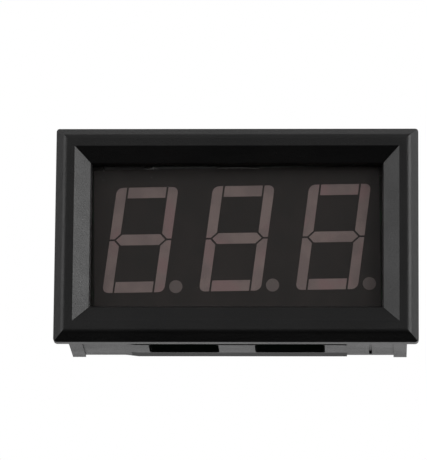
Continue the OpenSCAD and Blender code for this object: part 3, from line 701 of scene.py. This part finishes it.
def board_print():
    """White printed outlines round the parts. They carry no lettering."""
    work = bmesh.new()
    for node in ("polarity_diode", "input_capacitor", "voltage_regulator", "trimmer_body", "lead_header"):
        print_outline(work, node)
    for node, length in (("polarity_diode", 1.2 * MM), ("input_capacitor", 1.6 * MM)):
        low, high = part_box(node)
        beyond = PRINT_MARGIN + 0.2 * MM
        for z in (low.z - beyond, high.z + beyond):
            print_line(work, (low.x, z), (low.x + length, z), 2 * PRINT_WIDTH)
    for node in ("chip_resistors", "chip_capacitors"):
        for start, end in islands(node):
            for x in (start.x - 0.25 * MM, end.x + 0.25 * MM):
                print_line(work, (x, start.z + 0.1 * MM), (x, end.z - 0.1 * MM))
    low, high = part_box("microcontroller")
    for x in (low.x - 0.3 * MM, high.x + 0.3 * MM):
        print_line(work, (x, low.z), (x, high.z))
    flat_ring(work, (high.x + 0.4 * MM, low.z - 0.7 * MM), 0.10 * MM, 0.30 * MM, *PRINT)
    ink = moulded("board_ink", (0.72, 0.72, 0.70), (0.62, 0.62, 0.60), 0.5)
    piece("board_print", finished(work, "board_print"), ink)


# ---------------------------------------------------------------- dust, and a painted highlight drawn as lint

def speck(work, chance, centre, size):
    """A closed grain, a little different each time: a speck of dust, or a bead of the painted highlight.
    """
    grain = bmesh.ops.create_icosphere(work, subdivisions=1, radius=size)["verts"]
    stretch = Vector((chance.uniform(0.7, 1.5), 0.6, chance.uniform(0.7, 1.3)))
    for vertex in grain:
        vertex.co = centre + vertex.co * chance.uniform(0.75, 1.2) * stretch


def highlight_hair(work, start, end, sag, size, steps=14, sides=6):
    """A thin light strand shaped like a hair, from start to end, bowed by sag along Z, with closed ends:
    it paints a highlight streak.
    """
    rings = []
    for step in range(steps + 1):
        t = step / steps
        middle = start.lerp(end, t) + Vector((0, 0, sag * math.sin(math.pi * t)))
        thin = size * (0.35 + 0.65 * math.sin(math.pi * min(max(t, 0.04), 0.96)))
        rings.append([work.verts.new(middle + Vector((
            0, thin * math.cos(math.tau * k / sides), thin * math.sin(math.tau * k / sides))))
            for k in range(sides)])
    join_loops(work, rings)
    cap_ends(work, rings)


DUST_SEED = 7
LOOSE_SPECKS = 46
# Light specks along the window's upper edge that paint a highlight streak
HIGHLIGHT_SPECKS = 14
# Half of the window's open width and height, a little inside its lip
OPEN_WIDTH = 18.6 * MM
OPEN_HEIGHT = 9.1 * MM
# Painted highlight streaks along the window's upper edge, drawn as two light hairs: from x, to x, and from
# and to a height over OPEN_HEIGHT, then the bow and the thickness, in mm
HIGHLIGHT_HAIRS = ((-2.6, 2.9, 0.16, 0.10, 0.10, 0.05), (-11.9, -10.3, 0.0, 0.02, 0.12, 0.04))


def window_dust_and_highlight():
    """Dust specks on the window, half of them along its upper edge, and a painted highlight along that
    edge: a row of light specks and two light hairs.
    """
    chance = random.Random(DUST_SEED)
    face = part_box("window_filter")[0].y - 0.01 * MM
    work = bmesh.new()
    for k in range(LOOSE_SPECKS):
        x, z = chance.uniform(-1, 1), chance.uniform(-1, 1)
        if k % 2:
            z = chance.uniform(0.72, 0.98)
        size = chance.uniform(0.018, 0.045) * MM
        speck(work, chance, Vector((x * OPEN_WIDTH, face, z * OPEN_HEIGHT)), size)
    # Painted highlight: a row of light specks just above the window's upper edge
    for k in range(HIGHLIGHT_SPECKS):
        x, z = chance.uniform(-2.6, 2.4) * MM, chance.uniform(0.02, 0.22) * MM
        speck(work, chance, Vector((x, face, OPEN_HEIGHT + z)), chance.uniform(0.025, 0.055) * MM)
    # Painted highlight: two light hairs along the window's upper edge
    for left, right, left_rise, right_rise, bow, thickness in HIGHLIGHT_HAIRS:
        start = Vector((left * MM, face, OPEN_HEIGHT + left_rise * MM))
        end = Vector((right * MM, face, OPEN_HEIGHT + right_rise * MM))
        highlight_hair(work, start, end, bow * MM, thickness * MM)
    # The dust and the painted highlight share one light grey material
    lint_and_highlight = moulded("lint_and_highlight", (0.20, 0.195, 0.19), (0.13, 0.127, 0.125), 0.8, 0.05 * MM)
    piece("window_dust_and_highlight", finished(work, "window_dust_and_highlight"), lint_and_highlight)


# ---------------------------------------------------------------- studio

SOFTBOX_DISTANCE = 0.9


def softbox(name, azimuth, elevation, width, height, radiance):
    """An area lamp that faces the meter and is never seen itself."""
    lamp = bpy.data.lights.new(name, "AREA")
    lamp.shape = "RECTANGLE"
    lamp.size, lamp.size_y = width, height
    lamp.energy = radiance * math.pi * width * height
    made = bpy.data.objects.new(name, lamp)
    bpy.context.scene.collection.objects.link(made)
    away = direction(math.radians(azimuth), math.radians(elevation))
    made.location = away * SOFTBOX_DISTANCE
    made.rotation_mode = "QUATERNION"
    made.rotation_quaternion = away.to_track_quat("Z", "Y")
    made.visible_camera = False


def make_world():
    """A pale room behind the meter and a dim one in front, on plain white for the camera."""
    world = bpy.data.worlds.new("studio")
    bpy.context.scene.world = world
    world.use_nodes = True
    t = Tree(world.node_tree)
    x, y, z = t.split(t.node("ShaderNodeTexCoord").outputs["Generated"])
    front = t.ramp(z, -0.55, 0.25, 0.02, 0.30)
    back = t.ramp(x, -0.3, 0.3, 0.60, 0.96)
    room = t.blend(t.ramp(y, 0.05, 0.55), front, back)
    seen = t.node("ShaderNodeLightPath").outputs["Is Camera Ray"]
    light = t.node("ShaderNodeBackground")
    light.inputs["Color"].default_value = (1, 1, 1, 1)
    t.link(t.blend(seen, room, 1.0), light.inputs["Strength"])
    t.link(light.outputs[0], t.node("ShaderNodeOutputWorld").inputs["Surface"])


FLOOR_SIZE = 4.0
FLOOR_GAP = 0.2 * MM
# How far out the floor starts to fade to white and where it ends, and its whiteness at the start
FLOOR_FADE = (0.04, 0.5, 0.45)


def make_floor():
    """A pale floor that keeps the meter's shadow and fades to white. From below it isn't there."""
    mesh = bpy.data.meshes.new("floor")
    low = cad_low.z - FLOOR_GAP
    corners = [(-1, -1), (1, -1), (1, 1), (-1, 1)]
    mesh.from_pydata([(x * FLOOR_SIZE, y * FLOOR_SIZE, low) for x, y in corners], [], [(0, 1, 2, 3)])
    floor = bpy.data.objects.new("floor", mesh)
    bpy.context.scene.collection.objects.link(floor)
    s = Shader("floor")
    cloud = s.noise(0.05, detail=2)
    s.set(Base_Color=s.mix(s.ramp(cloud, 0.3, 0.7), (0.80, 0.80, 0.80), (0.83, 0.83, 0.83)), Roughness=0.9)
    away = s.length(s.along(X), s.along(Y))
    white = s.node("ShaderNodeEmission")
    white.inputs["Color"].default_value = (1, 1, 1, 1)
    seen = s.node("ShaderNodeLightPath").outputs["Is Camera Ray"]
    share = s.math("MULTIPLY", seen, s.ramp(away, *FLOOR_FADE))
    pale = s.node("ShaderNodeMixShader")
    s.link(share, pale.inputs[0])
    s.link(s.body.outputs[0], pale.inputs[1])
    s.link(white.outputs[0], pale.inputs[2])
    shown = s.node("ShaderNodeMixShader")
    s.link(s.node("ShaderNodeNewGeometry").outputs["Backfacing"], shown.inputs[0])
    s.link(pale.outputs[0], shown.inputs[1])
    s.link(s.node("ShaderNodeBsdfTransparent").outputs[0], shown.inputs[2])
    s.link(shown.outputs[0], s.output.inputs["Surface"])
    mesh.materials.append(s.material)
    floor.visible_glossy = False
    floor.visible_diffuse = False


def make_studio():
    """The room, the floor and two softboxes that light the reveal's sides."""
    make_world()
    make_floor()
    softbox("softbox_right", 61, 18, 0.7, 0.9, 3.4)
    softbox("softbox_left", -61, 18, 0.7, 0.9, 1.75)


make_camera()
dress_nodes()
solder_fillets()
board_copper()
board_print()
window_dust_and_highlight()
make_studio()

bpy.context.scene.view_settings.view_transform = "Standard"
